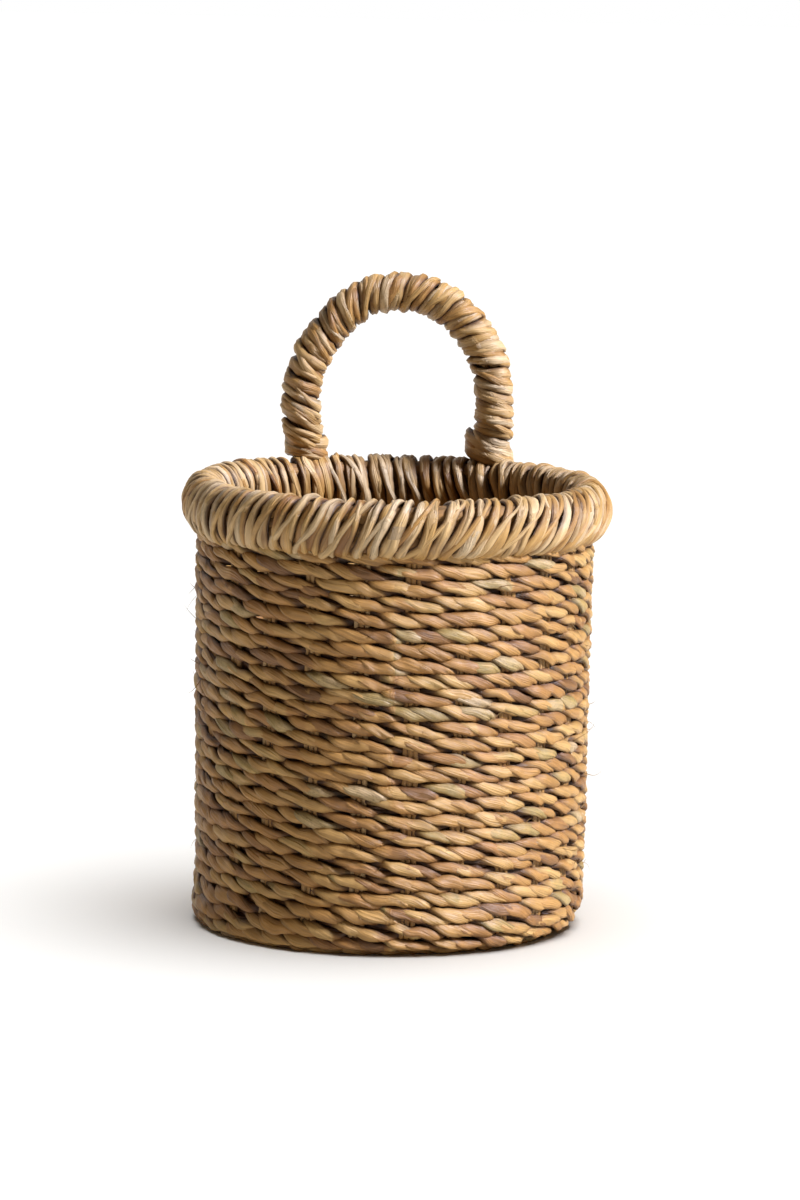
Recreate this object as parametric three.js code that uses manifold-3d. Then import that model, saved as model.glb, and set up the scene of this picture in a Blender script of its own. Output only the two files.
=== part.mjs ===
// Round twined seagrass basket with a rolled rim and one upright carrying handle.
// Millimetres, +Z up. The origin is the middle of the underside. The front is -Y, and the handle
// stands on the back of the rim, +Y. Angles are in degrees from the front, towards +X.
import * as THREE from "three";
import { mergeVertices } from "three/addons/utils/BufferGeometryUtils.js";
import loadManifold from "manifold-3d";

const wasm = await loadManifold();
wasm.setup();

// Wall and base
const wallTopRadius = 83.5; // outside of the wall under the rim
const wallFootRadius = 82; // outside of the wall where the foot curve ends
const wallHeight = 163; // floor to the top of the highest woven course
const wallThickness = 6.5; // a front strand and a back strand with the stakes between them
const footCurve = 17.7; // outside radius of the curve from base to wall
const wallCourses = 13; // each course is a pair of twined rows
const baseCourses = 4;
const baseCentreRadius = 12.2; // the knot that starts the base

// Stakes
const stakeCount = 24;
const stakeWidth = 7;
const stakeThickness = 2.4;
const firstStakeAngle = 5.6;
const stakeWeb = 0.8; // weave left between two stakes where they crowd towards the middle

// Rim
const rimWidth = 17;
const rimHeight = 26;
const rimOutset = 1.25; // the middle of the rim stands this far outside the middle of the wall
const rimCoreRadius = 5;

// Handle
const handleHalfSpan = 39.8; // middle of the basket to the middle of a leg
const handleHeight = 81; // top of the rim to the top of the handle
const handleWrapRadius = 8.25;
const handleCoreRadius = 5.5;
const handlePinRadius = 2.5; // the thinned ends of the core that go into the rim
const lashingRadius = 10.8;
const lashingHeight = 8;

const clearance = 0.3; // between any two pieces
const footCurveSteps = 4;
const rimSides = 12;
const coreSides = 8;
const handleSides = 10;
const handleSteps = 24;

const colours = { weave: 0xb98d54, stake: 0xa07a4b, rim: 0xcfae7c, core: 0x8d6a40 };

// Every ring has one flat side for each stake. Radii are measured to the corners, and the middle
// of a flat side lies closer to the axis by this factor.
const flatFactor = Math.cos(Math.PI / stakeCount);
const cornerAngle = THREE.MathUtils.degToRad(firstStakeAngle) + Math.PI / stakeCount;

// The middle surface of base and wall, by the distance s along it from the foot of the curve.
const flatRadius = wallFootRadius - footCurve;
const curveRadius = footCurve - wallThickness / 2;
const curveLength = (curveRadius * Math.PI) / 2;
const wallMiddleRadius = wallTopRadius - wallThickness / 2;
const wallLine = new THREE.Vector2(wallTopRadius - wallFootRadius, wallHeight - footCurve);
const weaveLength = curveLength + wallLine.length();
const wallDirection = wallLine.clone().normalize();

const rimBottom = wallHeight + clearance;
const rimMiddle = rimBottom + rimHeight / 2;
const rimTop = rimBottom + rimHeight;
const rimRadius = wallMiddleRadius + rimOutset;
const stakeTop = rimMiddle - rimCoreRadius - 2 * clearance;
const stakeRoomWidth = stakeWidth + stakeWeb + 2 * clearance;
const fullWidthRadius = (stakeRoomWidth * stakeCount) / (2 * Math.PI * flatFactor);
const stakeEnd = weaveLength + (stakeTop - wallHeight) / wallDirection.y;
const handleY = Math.sqrt(rimRadius ** 2 - handleHalfSpan ** 2);

/** Where the middle surface is at distance s, and its outward direction, as (radius, height). */
function surfaceAt(s) {
  if (s <= 0) {
    return { point: new THREE.Vector2(flatRadius + s, wallThickness / 2), out: new THREE.Vector2(0, -1) };
  }
  if (s <= curveLength) {
    const turn = s / curveRadius;
    const out = new THREE.Vector2(Math.sin(turn), -Math.cos(turn));
    return { point: new THREE.Vector2(flatRadius, footCurve).addScaledVector(out, curveRadius), out };
  }
  const start = new THREE.Vector2(flatRadius + curveRadius, footCurve);
  return {
    point: start.addScaledVector(wallDirection, s - curveLength),
    out: new THREE.Vector2(wallDirection.y, -wallDirection.x),
  };
}

/** The closed outline of a band that follows the middle surface from one distance to another. */
function bandOutline(from, to, halfThickness) {
  const curveStops = Array.from({ length: footCurveSteps + 1 }, (_, i) => (curveLength * i) / footCurveSteps);
  const between = curveStops.filter((s) => s > from + clearance && s < to - clearance);
  const stops = [from, ...between, to].map(surfaceAt);
  const outer = stops.map(({ point, out }) => point.clone().addScaledVector(out, halfThickness));
  const inner = stops.map(({ point, out }) => point.clone().addScaledVector(out, -halfThickness));
  return [...outer, ...inner.reverse()];
}

/** A round or oval outline about a point. */
function ovalOutline(radius, height, halfWidth, halfHeight, sides) {
  return Array.from({ length: sides }, (_, i) => {
    const turn = (2 * Math.PI * i) / sides;
    return new THREE.Vector2(radius + halfWidth * Math.cos(turn), height + halfHeight * Math.sin(turn));
  });
}

/** Turns a closed three.js geometry into a solid that can be joined and cut. */
function solid(geometry) {
  const shape = geometry.clone();
  shape.deleteAttribute("normal");
  shape.deleteAttribute("uv");
  const merged = mergeVertices(shape, 1e-4);
  const corners = merged.index.array;
  const points = merged.getAttribute("position");
  const kept = [];
  let volume = 0;
  for (let i = 0; i < corners.length; i += 3) {
    const [a, b, c] = corners.slice(i, i + 3);
    if (a !== b && b !== c && c !== a) {
      kept.push(a, b, c);
      const [pa, pb, pc] = [a, b, c].map((k) => new THREE.Vector3().fromBufferAttribute(points, k));
      volume += pa.dot(pb.cross(pc));
    }
  }
  const triVerts = Uint32Array.from(volume > 0 ? kept : kept.reverse());
  const vertProperties = Float32Array.from(points.array);
  return new wasm.Manifold(new wasm.Mesh({ numProp: 3, vertProperties, triVerts }));
}

/** A ring about the basket's axis, or a disc where the outline starts and ends on the axis. */
function ring(outline) {
  const onAxis = outline[0].x === 0;
  const profile = onAxis ? outline : [...outline, outline[0]];
  return solid(new THREE.LatheGeometry(profile, stakeCount, cornerAngle).rotateX(Math.PI / 2));
}

function rimRoll(extra) {
  const halfWidth = rimWidth / 2 + extra;
  const halfHeight = rimHeight / 2 + extra;
  return ring(ovalOutline(rimRadius, rimMiddle, halfWidth, halfHeight, rimSides));
}

function rimCoreRing(extra) {
  const radius = rimCoreRadius + extra;
  return ring(ovalOutline(rimRadius, rimMiddle, radius, radius, coreSides));
}

/** An upright round bar on the middle of a handle leg, on the side -1 or 1. */
function legBar(side, radius, bottom, top) {
  const bar = new THREE.CylinderGeometry(radius, radius, top - bottom, coreSides).rotateX(Math.PI / 2);
  return solid(bar.translate(side * handleHalfSpan, handleY, (bottom + top) / 2));
}

/** The line along the middle of the handle: a leg, a half circle and a leg. */
class HandleLine extends THREE.Curve {
  constructor(bottom) {
    super();
    this.bottom = bottom;
    this.legLength = rimTop + handleHeight - handleWrapRadius - handleHalfSpan - bottom;
  }

  getPoint(t, target = new THREE.Vector3()) {
    const archLength = Math.PI * handleHalfSpan;
    const along = t * (2 * this.legLength + archLength);
    const turn = THREE.MathUtils.clamp((along - this.legLength) / handleHalfSpan, 0, Math.PI);
    const upLeg = Math.min(along, 2 * this.legLength + archLength - along, this.legLength);
    const height = this.bottom + upLeg + handleHalfSpan * Math.sin(turn);
    return target.set(-handleHalfSpan * Math.cos(turn), handleY, height);
  }
}

/** A round bar that follows the handle, from a height on one leg to the same height on the other. */
function handleBar(radius, bottom) {
  const section = new THREE.Shape(ovalOutline(0, 0, radius, radius, handleSides));
  const extrudePath = new HandleLine(bottom);
  return solid(new THREE.ExtrudeGeometry(section, { steps: handleSteps, extrudePath, bevelEnabled: false }));
}

/** How wide a stake can be at a radius without meeting its neighbours. */
function stakeWidthAt(radius) {
  return (2 * Math.PI * radius * flatFactor) / stakeCount - stakeWeb - 2 * clearance;
}

/** One stake in the plane of +X, along the base and up the wall, grown on all sides by extra. */
function stakeBar(extra) {
  const overrun = 4 * extra;
  const start = baseCentreRadius + clearance - flatRadius - overrun;
  const end = stakeEnd + overrun;
  const side = bandOutline(start, end, stakeThickness / 2 + extra);
  const sideShape = new THREE.Shape(side.map((p) => new THREE.Vector2(p.x * flatFactor, p.y)));
  const bar = new THREE.ExtrudeGeometry(sideShape, { depth: 2 * stakeWidth, bevelEnabled: false });
  bar.translate(0, 0, -stakeWidth).rotateX(Math.PI / 2);

  const innerRadius = flatRadius + start;
  const half = stakeWidth / 2 + extra;
  const innerHalf = stakeWidthAt(innerRadius) / 2 + extra;
  const planShape = new THREE.Shape([
    new THREE.Vector2(innerRadius * flatFactor - clearance, -innerHalf),
    new THREE.Vector2(fullWidthRadius * flatFactor, -half),
    new THREE.Vector2(2 * wallTopRadius, -half),
    new THREE.Vector2(2 * wallTopRadius, half),
    new THREE.Vector2(fullWidthRadius * flatFactor, half),
    new THREE.Vector2(innerRadius * flatFactor - clearance, innerHalf),
  ]);
  const plan = new THREE.ExtrudeGeometry(planShape, { depth: 2 * rimTop, bevelEnabled: false });
  return solid(bar).intersect(solid(plan.translate(0, 0, -rimTop)));
}

function stakeTurn(index) {
  return firstStakeAngle - 90 + (index * 360) / stakeCount;
}

function geometryOf(body) {
  const { vertProperties, triVerts } = body.getMesh();
  const geometry = new THREE.BufferGeometry();
  geometry.setAttribute("position", new THREE.BufferAttribute(vertProperties, 3));
  geometry.setIndex(new THREE.BufferAttribute(triVerts, 1));
  geometry.computeVertexNormals();
  return geometry;
}

function piece(name, geometry, colour) {
  const material = new THREE.MeshStandardMaterial({ color: colour, roughness: 0.75, metalness: 0 });
  const mesh = new THREE.Mesh(geometry, material);
  mesh.name = name;
  return mesh;
}

function numbered(name, index) {
  return `${name}_${String(index + 1).padStart(2, "0")}`;
}

/** The stakes: upright bars that turn under the base and run in towards its middle. */
function makeStakes() {
  const stakes = new THREE.Group();
  const geometry = geometryOf(stakeBar(0));
  for (let i = 0; i < stakeCount; i += 1) {
    const stake = piece(numbered("stake", i), geometry, colours.stake);
    stake.rotation.z = THREE.MathUtils.degToRad(stakeTurn(i));
    stakes.add(stake);
  }
  return stakes;
}

/** The weave: a centre knot and courses round the base and up the wall, with the stakes inside. */
function makeWeave() {
  const weave = new THREE.Group();
  const grown = stakeBar(clearance);
  const turns = Array.from({ length: stakeCount }, (_, i) => grown.rotate([0, 0, stakeTurn(i)]));
  const stakeRoom = wasm.Manifold.union(turns);
  const halfGap = clearance / 2;

  const addCourses = (name, count, from, to) => {
    for (let i = 0; i < count; i += 1) {
      const low = from + ((to - from) * i) / count + halfGap;
      const high = from + ((to - from) * (i + 1)) / count - halfGap;
      const course = ring(bandOutline(low, high, wallThickness / 2)).subtract(stakeRoom);
      weave.add(piece(numbered(name, i), geometryOf(course), colours.weave));
    }
  };
  addCourses("base_course", baseCourses, baseCentreRadius + halfGap - flatRadius, 0);
  addCourses("wall_course", wallCourses, 0, weaveLength);

  const knotOutline = [
    new THREE.Vector2(0, 0),
    new THREE.Vector2(baseCentreRadius, 0),
    new THREE.Vector2(baseCentreRadius, wallThickness),
    new THREE.Vector2(0, wallThickness),
  ];
  weave.add(piece("base_centre_knot", geometryOf(ring(knotOutline)), colours.weave));
  return weave;
}

/** The rim: a bundle of folded stake ends, and the leaf wound over it, open below for the stakes. */
function makeRim() {
  const rim = new THREE.Group();
  const pinRoom = [-1, 1].map((side) => legBar(side, handlePinRadius + clearance, rimBottom, rimTop + 1));
  const pins = wasm.Manifold.union(pinRoom);

  const slotHalf = stakeThickness / 2 + 2 * clearance;
  const slot = ring(bandOutline(weaveLength - rimWidth, stakeEnd + rimCoreRadius, slotHalf));
  const hollow = rimCoreRing(clearance).add(slot);
  const pinHoles = pins.trimByPlane([0, 0, 1], rimMiddle);
  const wrap = rimRoll(0).subtract(hollow).subtract(pinHoles);
  rim.add(piece("rim_wrap", geometryOf(wrap), colours.rim));
  rim.add(piece("rim_core", geometryOf(rimCoreRing(0).subtract(pins)), colours.core));
  return rim;
}

/** The handle: a bent core with pins into the rim, a wrapped sleeve, and a lashing on each leg. */
function makeHandle() {
  const handle = new THREE.Group();
  const rimRoom = rimRoll(clearance);
  const pinBottom = rimMiddle - rimCoreRadius / 2;
  const shoulder = rimTop + clearance;
  const pins = [-1, 1].map((side) => legBar(side, handlePinRadius, pinBottom, shoulder + handlePinRadius));
  const core = wasm.Manifold.union([handleBar(handleCoreRadius, shoulder), ...pins]);
  handle.add(piece("handle_core", geometryOf(core), colours.core));

  const coreRoom = handleBar(handleCoreRadius + clearance, rimMiddle);
  const sleeve = handleBar(handleWrapRadius, rimTop - handleWrapRadius).subtract(coreRoom).subtract(rimRoom);
  handle.add(piece("handle_wrap", geometryOf(sleeve), colours.rim));

  for (const [name, side] of [["lashing_left", -1], ["lashing_right", 1]]) {
    const collar = legBar(side, lashingRadius, rimTop - lashingHeight / 2, rimTop + lashingHeight / 2);
    const sleeveRoom = legBar(side, handleWrapRadius / Math.cos(Math.PI / coreSides) + clearance, 0, rimTop * 2);
    const lashing = collar.subtract(sleeveRoom).subtract(rimRoom);
    handle.add(piece(name, geometryOf(lashing), colours.rim));
  }
  return handle;
}

const basket = new THREE.Group();
basket.add(makeStakes(), makeWeave(), makeRim(), makeHandle());

export default basket;
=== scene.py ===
import math

import bmesh
import bpy
from bpy.props import FloatProperty, FloatVectorProperty, IntProperty, PointerProperty
from mathutils import Euler, Matrix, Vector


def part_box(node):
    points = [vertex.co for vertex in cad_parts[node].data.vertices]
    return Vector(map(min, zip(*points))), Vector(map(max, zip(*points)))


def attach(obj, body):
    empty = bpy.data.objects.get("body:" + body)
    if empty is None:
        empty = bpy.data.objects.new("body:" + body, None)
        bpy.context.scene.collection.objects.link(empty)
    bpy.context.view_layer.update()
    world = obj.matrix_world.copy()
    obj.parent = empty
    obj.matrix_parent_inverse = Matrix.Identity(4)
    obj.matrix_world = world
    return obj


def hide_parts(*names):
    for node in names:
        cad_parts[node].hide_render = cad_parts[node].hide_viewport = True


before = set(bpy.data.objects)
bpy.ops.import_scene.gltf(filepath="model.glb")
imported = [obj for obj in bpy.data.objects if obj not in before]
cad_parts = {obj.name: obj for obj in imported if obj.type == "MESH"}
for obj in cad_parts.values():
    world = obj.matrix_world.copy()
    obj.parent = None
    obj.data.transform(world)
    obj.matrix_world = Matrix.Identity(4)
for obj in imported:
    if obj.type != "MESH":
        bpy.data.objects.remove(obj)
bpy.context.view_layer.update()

bl_info = {
    "name": "Twined seagrass basket",
    "version": (1, 0, 0),
    "blender": (4, 5, 0),
    "location": "View3D > Sidebar > Basket",
    "description": "Weaves a round seagrass basket with a wound rim and handle around its frame",
    "category": "Add Mesh",
}

MM = 0.001

# Places and sizes taken from the frame.
WALL_COURSES = sorted(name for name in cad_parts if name.startswith("wall_course"))
BASE_COURSES = sorted(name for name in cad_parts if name.startswith("base_course"))
STAKES = sorted(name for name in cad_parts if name.startswith("stake"))
WALL_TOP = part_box(WALL_COURSES[-1])[1][2]
WALL_TOP_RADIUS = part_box(WALL_COURSES[-1])[1][0]
WALL_FOOT_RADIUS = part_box(WALL_COURSES[1])[1][0]
FLAT_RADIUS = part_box(BASE_COURSES[-1])[1][0]
WALL_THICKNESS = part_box(BASE_COURSES[-1])[1][2]
KNOT_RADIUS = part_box("base_centre_knot")[1][0]
STAKE_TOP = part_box(STAKES[0])[1][2]
RIM_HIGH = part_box("rim_wrap")[1]
RIM_CORE_LOW, RIM_CORE_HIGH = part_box("rim_core")
HANDLE_LOW, HANDLE_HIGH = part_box("handle_wrap")
LASHING_LOW, LASHING_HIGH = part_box("lashing_right")

STAKE_COUNT = len(STAKES)
ROWS_PER_COURSE = 2
STRIPS_PER_ROW = 4
FIRST_STAKE = math.radians(5.6)

FOOT = WALL_FOOT_RADIUS - FLAT_RADIUS
CURVE_RADIUS = FOOT - WALL_THICKNESS / 2
CURVE_LENGTH = CURVE_RADIUS * math.pi / 2
FLARE = (WALL_TOP_RADIUS - WALL_FOOT_RADIUS) / (WALL_TOP - FOOT)
WEAVE_LENGTH = CURVE_LENGTH + WALL_TOP - FOOT
WALL_PITCH = WEAVE_LENGTH / (len(WALL_COURSES) * ROWS_PER_COURSE)
BASE_PITCH = (FLAT_RADIUS - KNOT_RADIUS) / (len(BASE_COURSES) * ROWS_PER_COURSE)

RIM_CORE_RADIUS = (RIM_CORE_HIGH[2] - RIM_CORE_LOW[2]) / 2
RIM_RADIUS = RIM_CORE_HIGH[0] - RIM_CORE_RADIUS
RIM_MIDDLE = (RIM_CORE_HIGH[2] + RIM_CORE_LOW[2]) / 2
RIM_HALF_WIDTH = RIM_HIGH[0] - RIM_RADIUS
RIM_HALF_HEIGHT = RIM_HIGH[2] - RIM_MIDDLE

HANDLE_RADIUS = (HANDLE_HIGH[1] - HANDLE_LOW[1]) / 2
HANDLE_Y = (HANDLE_HIGH[1] + HANDLE_LOW[1]) / 2
HANDLE_SPAN = HANDLE_HIGH[0] - HANDLE_RADIUS
HANDLE_SPRING = HANDLE_HIGH[2] - HANDLE_RADIUS - HANDLE_SPAN
HANDLE_LEG = HANDLE_SPRING - RIM_HIGH[2] + HANDLE_RADIUS * 0.5
LASHING_RADIUS = (LASHING_HIGH[0] - LASHING_LOW[0]) / 2

# How finely the strips are meshed: points along them, and round their section.
WEAVE_SIDES = 12
WALL_STEPS = 14
BASE_STEPS = 8
WOUND_SIDES = 10
RIM_STEPS_PER_TURN = 28
HANDLE_STEPS_PER_TURN = 28
LASHING_STEPS_PER_TURN = 32
STAKE_STEPS = 90
STAKE_SIDES = 8
CORE_SIDES = 8
RIM_CORE_STEPS = 240
HANDLE_CORE_STEPS = 120
KNOT_STEPS = 40
KNOT_SIDES = 10
FIBRE_STEPS = 8
FIBRE_SIDES = 5
MERGE_DISTANCE = 0.01 * MM

# Counts of strands and strips.
STAKE_STRANDS = 3
CORE_STRANDS = 7
KNOT_STRIPS = 5
LOOSE_FIBRES = 110
WOUND_STRIPS = 3

# Fixed make-up of the weave, the foot, the stakes and the loose fibres.
CREASE_RATE = 60.0
SHINGLE = 0.22
LEAST_STAGGER = 0.18
MOST_STAGGER = 0.95
# Painted shade: the next two set the depths over which the weave's colour darkens towards its crevices,
# and the darkest share of its colour kept there.
WEAVE_SHADE_DEPTHS = (1.0 * MM, 3.3 * MM)
PAINTED_CREVICE_SHADE = 0.17
KNOT_WAVE = 0.9 * MM
FOOT_HEIGHT = 22 * MM
FOOT_BULGE = 5 * MM
FRONT_FOOT_BULGE = 7 * MM
FULLEST_SIDE = math.radians(55)
UNEVEN_RADII = (30 * MM, 64 * MM)
ROW_WANDER = 0.75 * MM
ROW_RIPPLE = 0.6 * MM
STRIP_WANDER = 0.5 * MM
STRIP_LIFT = 0.6 * MM
STAKE_GAP = 0.8 * MM
STAKE_ROOM = 7.0 * MM
SWAY = 0.6 * MM
SWAY_RATE = 1.3
FIBRE_WIDTH = 0.19 * MM
FIBRE_LIFT = 2.4 * MM
FIBRE_FREE_TOP = 6 * MM

# Fixed make-up of the rim and the handle. A lashing has its radius and its lean.
RIM_LIFT = 1.0 * MM
RIM_LUMP = 0.7 * MM
END_SINK = 3.0 * MM
WOUND_CREASE = 0.30
WOUND_RISE = -1.4 * MM
# Painted shade: the height over which a wound strip's colour darkens where it lies low between its
# neighbours.
WOUND_SHADE_DEPTH = 1.7 * MM
WOUND_WANDER = 0.8 * MM
WOUND_DISORDER = 1.1 * MM
HANDLE_BULGE = 2.5 * MM
BULGE_REACH = 1.35
BULGE_ABOVE_LEG = 0.35
LEFT_SQUEEZE = 2.5 * MM
RIGHT_SQUEEZE = 0.9 * MM
HANDLE_WOBBLE = 0.5 * MM
FOOT_SET = 8.0 * MM
FOOT_SET_START = 0.35
LASHING_SET = 0.7 * FOOT_SET
LASHING_LIFT = 3.5 * MM
LASHING_TRIM = 1 * MM
LEFT_LASHING = (HANDLE_RADIUS + 0.8 * MM, 1.0 * MM)
RIGHT_LASHING = (LASHING_RADIUS - 0.6 * MM, 3.0 * MM)

# The finish of the leaf.
PALE_LEAF = (0.90, 0.74, 0.50)
PALE_SHARE = 0.24
RELIEF = 0.3 * MM

# The stage. The suns' angles and CAMERA_DOWN are in degrees, the camera's turn and roll in radians,
# the lens and the sensor in millimetres, and places and ranges in metres.
SKY_LIGHT = 0.09
SKY_COLOUR = (1.0, 0.84, 0.66)
KEY_STRENGTH = 7.1
KEY_SPREAD = 12
KEY_TURNED = (0.0, 53.0, -19.0)
KEY_COLOUR = (0.95, 1.01, 1.25)
BACK_STRENGTH = 0.9
BACK_SPREAD = 50
BACK_TURNED = (0.0, -50.0, -65.0)
FLOOR_STRENGTH = 3.7
FLOOR_SPREAD = 56
FLOOR_TURNED = (0.0, 10.0, -20.0)
FLOOR_HALF = 12.0
CAMERA_PLACE = (0.0, -2.2, 0.4501)
CAMERA_DOWN = 8.1
CAMERA_TURN = -0.0011
CAMERA_ROLL = 0.02
CAMERA_LENS = 157.8
SENSOR_HEIGHT = 36.0
CAMERA_RANGE = 60.0


# ---- Sizes and colours that a user can change ----

def length(name, description, default_mm):
    """A property for a length, with its default in millimetres."""
    return FloatProperty(
        name=name, description=description, default=default_mm * MM, unit="LENGTH", precision=4
    )


def colour(name, description, default):
    return FloatVectorProperty(
        name=name, description=description, default=default, subtype="COLOR", size=3, min=0.0, max=1.0
    )


class BasketSizes(bpy.types.PropertyGroup):
    strip_width: length("Strip width", "Width of one flattened leaf strip in the weave", 5.5)
    strip_thickness: length("Strip thickness", "Thickness of one leaf strip in the weave", 2.8)
    strand_depth: length("Strand depth", "How far a strand lies in front of or behind the stakes", 2.2)
    strand_height: length("Strand height", "How far a strand climbs above or below its row's middle", 1.9)
    strip_spread: length("Strip spread", "Half the distance between two strips that lie side by side", 1.5)
    stagger: FloatProperty(
        name="Stagger", description="How far one strip of a strand runs ahead of the other", default=0.62,
        min=0.0, unit="ROTATION",
    )
    stake_strand: length("Stake strand width", "Width of one strand of a stake bundle", 2.5)
    rim_strip: length("Rim strip width", "Width of the widest leaf strip wound over the rim", 4.9)
    handle_strip: length("Handle strip width", "Width of the widest strip wound over the handle", 5.0)
    lashing_strip: length("Lashing strip width", "Width of the widest strip wound over a foot", 6.4)
    wound_thickness: length("Wound thickness", "Thickness of the strips of the rim and the handle", 2.8)
    rim_turns: IntProperty(
        name="Rim turns", description="Turns of each strip around the rim", default=86, min=8
    )
    handle_turns: IntProperty(
        name="Handle turns", description="Turns of each strip around the handle", default=38, min=4
    )
    lashing_turns: IntProperty(
        name="Lashing turns", description="Turns of each strip around a foot of the handle", default=3,
        min=2,
    )
    disorder: FloatProperty(
        name="Disorder", description="How unevenly the strips of the rim and the handle lie", default=0.55,
        min=0.0,
    )
    fibre_length: length("Fibre length", "Length of a loose fibre", 9.0)
    seed: IntProperty(name="Seed", description="Changes every irregularity of the hand work", default=3)


class BasketColours(bpy.types.PropertyGroup):
    brown: colour("Brown leaf", "The darkest dried leaf", (0.200, 0.088, 0.022))
    amber: colour("Amber leaf", "Orange brown leaf", (0.330, 0.150, 0.034))
    gold: colour("Golden leaf", "The most common leaf", (0.405, 0.203, 0.049))
    straw: colour("Straw leaf", "Pale yellow leaf", (0.500, 0.293, 0.090))
    olive: colour("Olive leaf", "Leaf that dried with some green left", (0.320, 0.212, 0.060))
    silver: colour("Silver leaf", "Weathered, speckled leaf", (0.480, 0.325, 0.160))
    floor: colour("Floor", "The plain floor", (0.900, 0.900, 0.895))


# ---- Numbers in node trees ----

class Term:
    """A number inside a node tree. Arithmetic on it adds Math nodes to that tree."""

    def __init__(self, tree, socket):
        self.tree = tree
        self.socket = socket

    def __add__(self, other):
        return combine("ADD", self, other)

    def __radd__(self, other):
        return combine("ADD", other, self)

    def __sub__(self, other):
        return combine("SUBTRACT", self, other)

    def __rsub__(self, other):
        return combine("SUBTRACT", other, self)

    def __mul__(self, other):
        return combine("MULTIPLY", self, other)

    def __rmul__(self, other):
        return combine("MULTIPLY", other, self)

    def __truediv__(self, other):
        return combine("DIVIDE", self, other)

    def __rtruediv__(self, other):
        return combine("DIVIDE", other, self)


def combine(operation, *values):
    """A Math node on Terms and plain numbers, as a new Term."""
    tree = next(value.tree for value in values if isinstance(value, Term))
    node = tree.nodes.new("ShaderNodeMath")
    node.operation = operation
    for socket, value in zip(node.inputs, values):
        feed(socket, value)
    return Term(tree, node.outputs[0])


def feed(socket, value):
    """Links a Term or a socket to an input, or sets the input to a plain value."""
    if isinstance(value, Term):
        value.tree.links.new(value.socket, socket)
    elif isinstance(value, bpy.types.NodeSocket):
        value.node.id_data.links.new(value, socket)
    else:
        socket.default_value = value


def sin(term):
    return combine("SINE", term)


def cos(term):
    return combine("COSINE", term)


def floor(term):
    return combine("FLOOR", term)


def magnitude(term):
    return combine("ABSOLUTE", term)


def power(term, exponent):
    return combine("POWER", term, exponent)


def limit(term, low, high):
    return combine("MINIMUM", combine("MAXIMUM", term, low), high)


def ramp_between(term, low, high):
    """0 below low, 1 above high and an even rise between."""
    return limit((term - low) / (high - low), 0.0, 1.0)


def vector(tree, x, y, z):
    node = tree.nodes.new("ShaderNodeCombineXYZ")
    for socket, value in zip(node.inputs, (x, y, z)):
        feed(socket, value)
    return node.outputs[0]


def noise(tree, x, y, z, detail=1.0, roughness=0.5):
    """Smooth noise, mostly from -1 to 1, that changes over about one unit of x, y or z."""
    node = tree.nodes.new("ShaderNodeTexNoise")
    node.inputs["Scale"].default_value = 1.0
    node.inputs["Detail"].default_value = detail
    node.inputs["Roughness"].default_value = roughness
    feed(node.inputs["Vector"], vector(tree, x, y, z))
    return (Term(tree, node.outputs[0]) - 0.5) * 3.2


def chance(term):
    """An even random number from 0 to 1 for each different value."""
    node = term.tree.nodes.new("ShaderNodeTexWhiteNoise")
    node.noise_dimensions = "1D"
    feed(node.inputs["W"], term)
    return Term(term.tree, node.outputs["Value"])


# ---- Geometry node trees ----

def new_tree(name, inputs):
    """A Geometry Nodes tree, with a Term for each named input and a Material input."""
    tree = bpy.data.node_groups.new(name, "GeometryNodeTree")
    tree.is_modifier = True
    for label in inputs:
        tree.interface.new_socket(name=label, in_out="INPUT", socket_type="NodeSocketFloat")
    tree.interface.new_socket(name="Material", in_out="INPUT", socket_type="NodeSocketMaterial")
    tree.interface.new_socket(name="Geometry", in_out="OUTPUT", socket_type="NodeSocketGeometry")
    group = tree.nodes.new("NodeGroupInput")
    return tree, {label: Term(tree, group.outputs[label]) for label in inputs}


def strip_sheets(tree, along_steps, across_steps, count):
    """A flat grid for each strip, with each point's share along it and across it and its strip number."""
    grid = tree.nodes.new("GeometryNodeMeshGrid")
    grid.inputs["Vertices X"].default_value = along_steps + 1
    grid.inputs["Vertices Y"].default_value = across_steps + 1
    position = tree.nodes.new("GeometryNodeInputPosition")
    split = tree.nodes.new("ShaderNodeSeparateXYZ")
    tree.links.new(position.outputs[0], split.inputs[0])
    geometry = grid.outputs["Mesh"]
    for name, socket in (("along", split.outputs[0]), ("across", split.outputs[1])):
        geometry = store(tree, geometry, name, "FLOAT", "POINT", Term(tree, socket) + 0.5)
    line = tree.nodes.new("GeometryNodeMeshLine")
    line.inputs["Count"].default_value = count
    copies = tree.nodes.new("GeometryNodeInstanceOnPoints")
    tree.links.new(line.outputs[0], copies.inputs["Points"])
    tree.links.new(geometry, copies.inputs["Instance"])
    realize = tree.nodes.new("GeometryNodeRealizeInstances")
    tree.links.new(copies.outputs[0], realize.inputs[0])
    index = Term(tree, tree.nodes.new("GeometryNodeInputIndex").outputs[0])
    strip = floor((index + 0.5) / ((along_steps + 1) * (across_steps + 1)))
    return realize.outputs[0], named(tree, "along"), named(tree, "across"), strip


def named(tree, name):
    """A Term that reads a stored attribute."""
    node = tree.nodes.new("GeometryNodeInputNamedAttribute")
    node.inputs["Name"].default_value = name
    return Term(tree, node.outputs[0])


def store(tree, geometry, name, data_type, domain, value):
    """Stores a value on each point or corner of the geometry, under a name."""
    node = tree.nodes.new("GeometryNodeStoreNamedAttribute")
    node.data_type = data_type
    node.domain = domain
    node.inputs["Name"].default_value = name
    tree.links.new(geometry, node.inputs["Geometry"])
    feed(node.inputs["Value"], value)
    return node.outputs[0]


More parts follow.
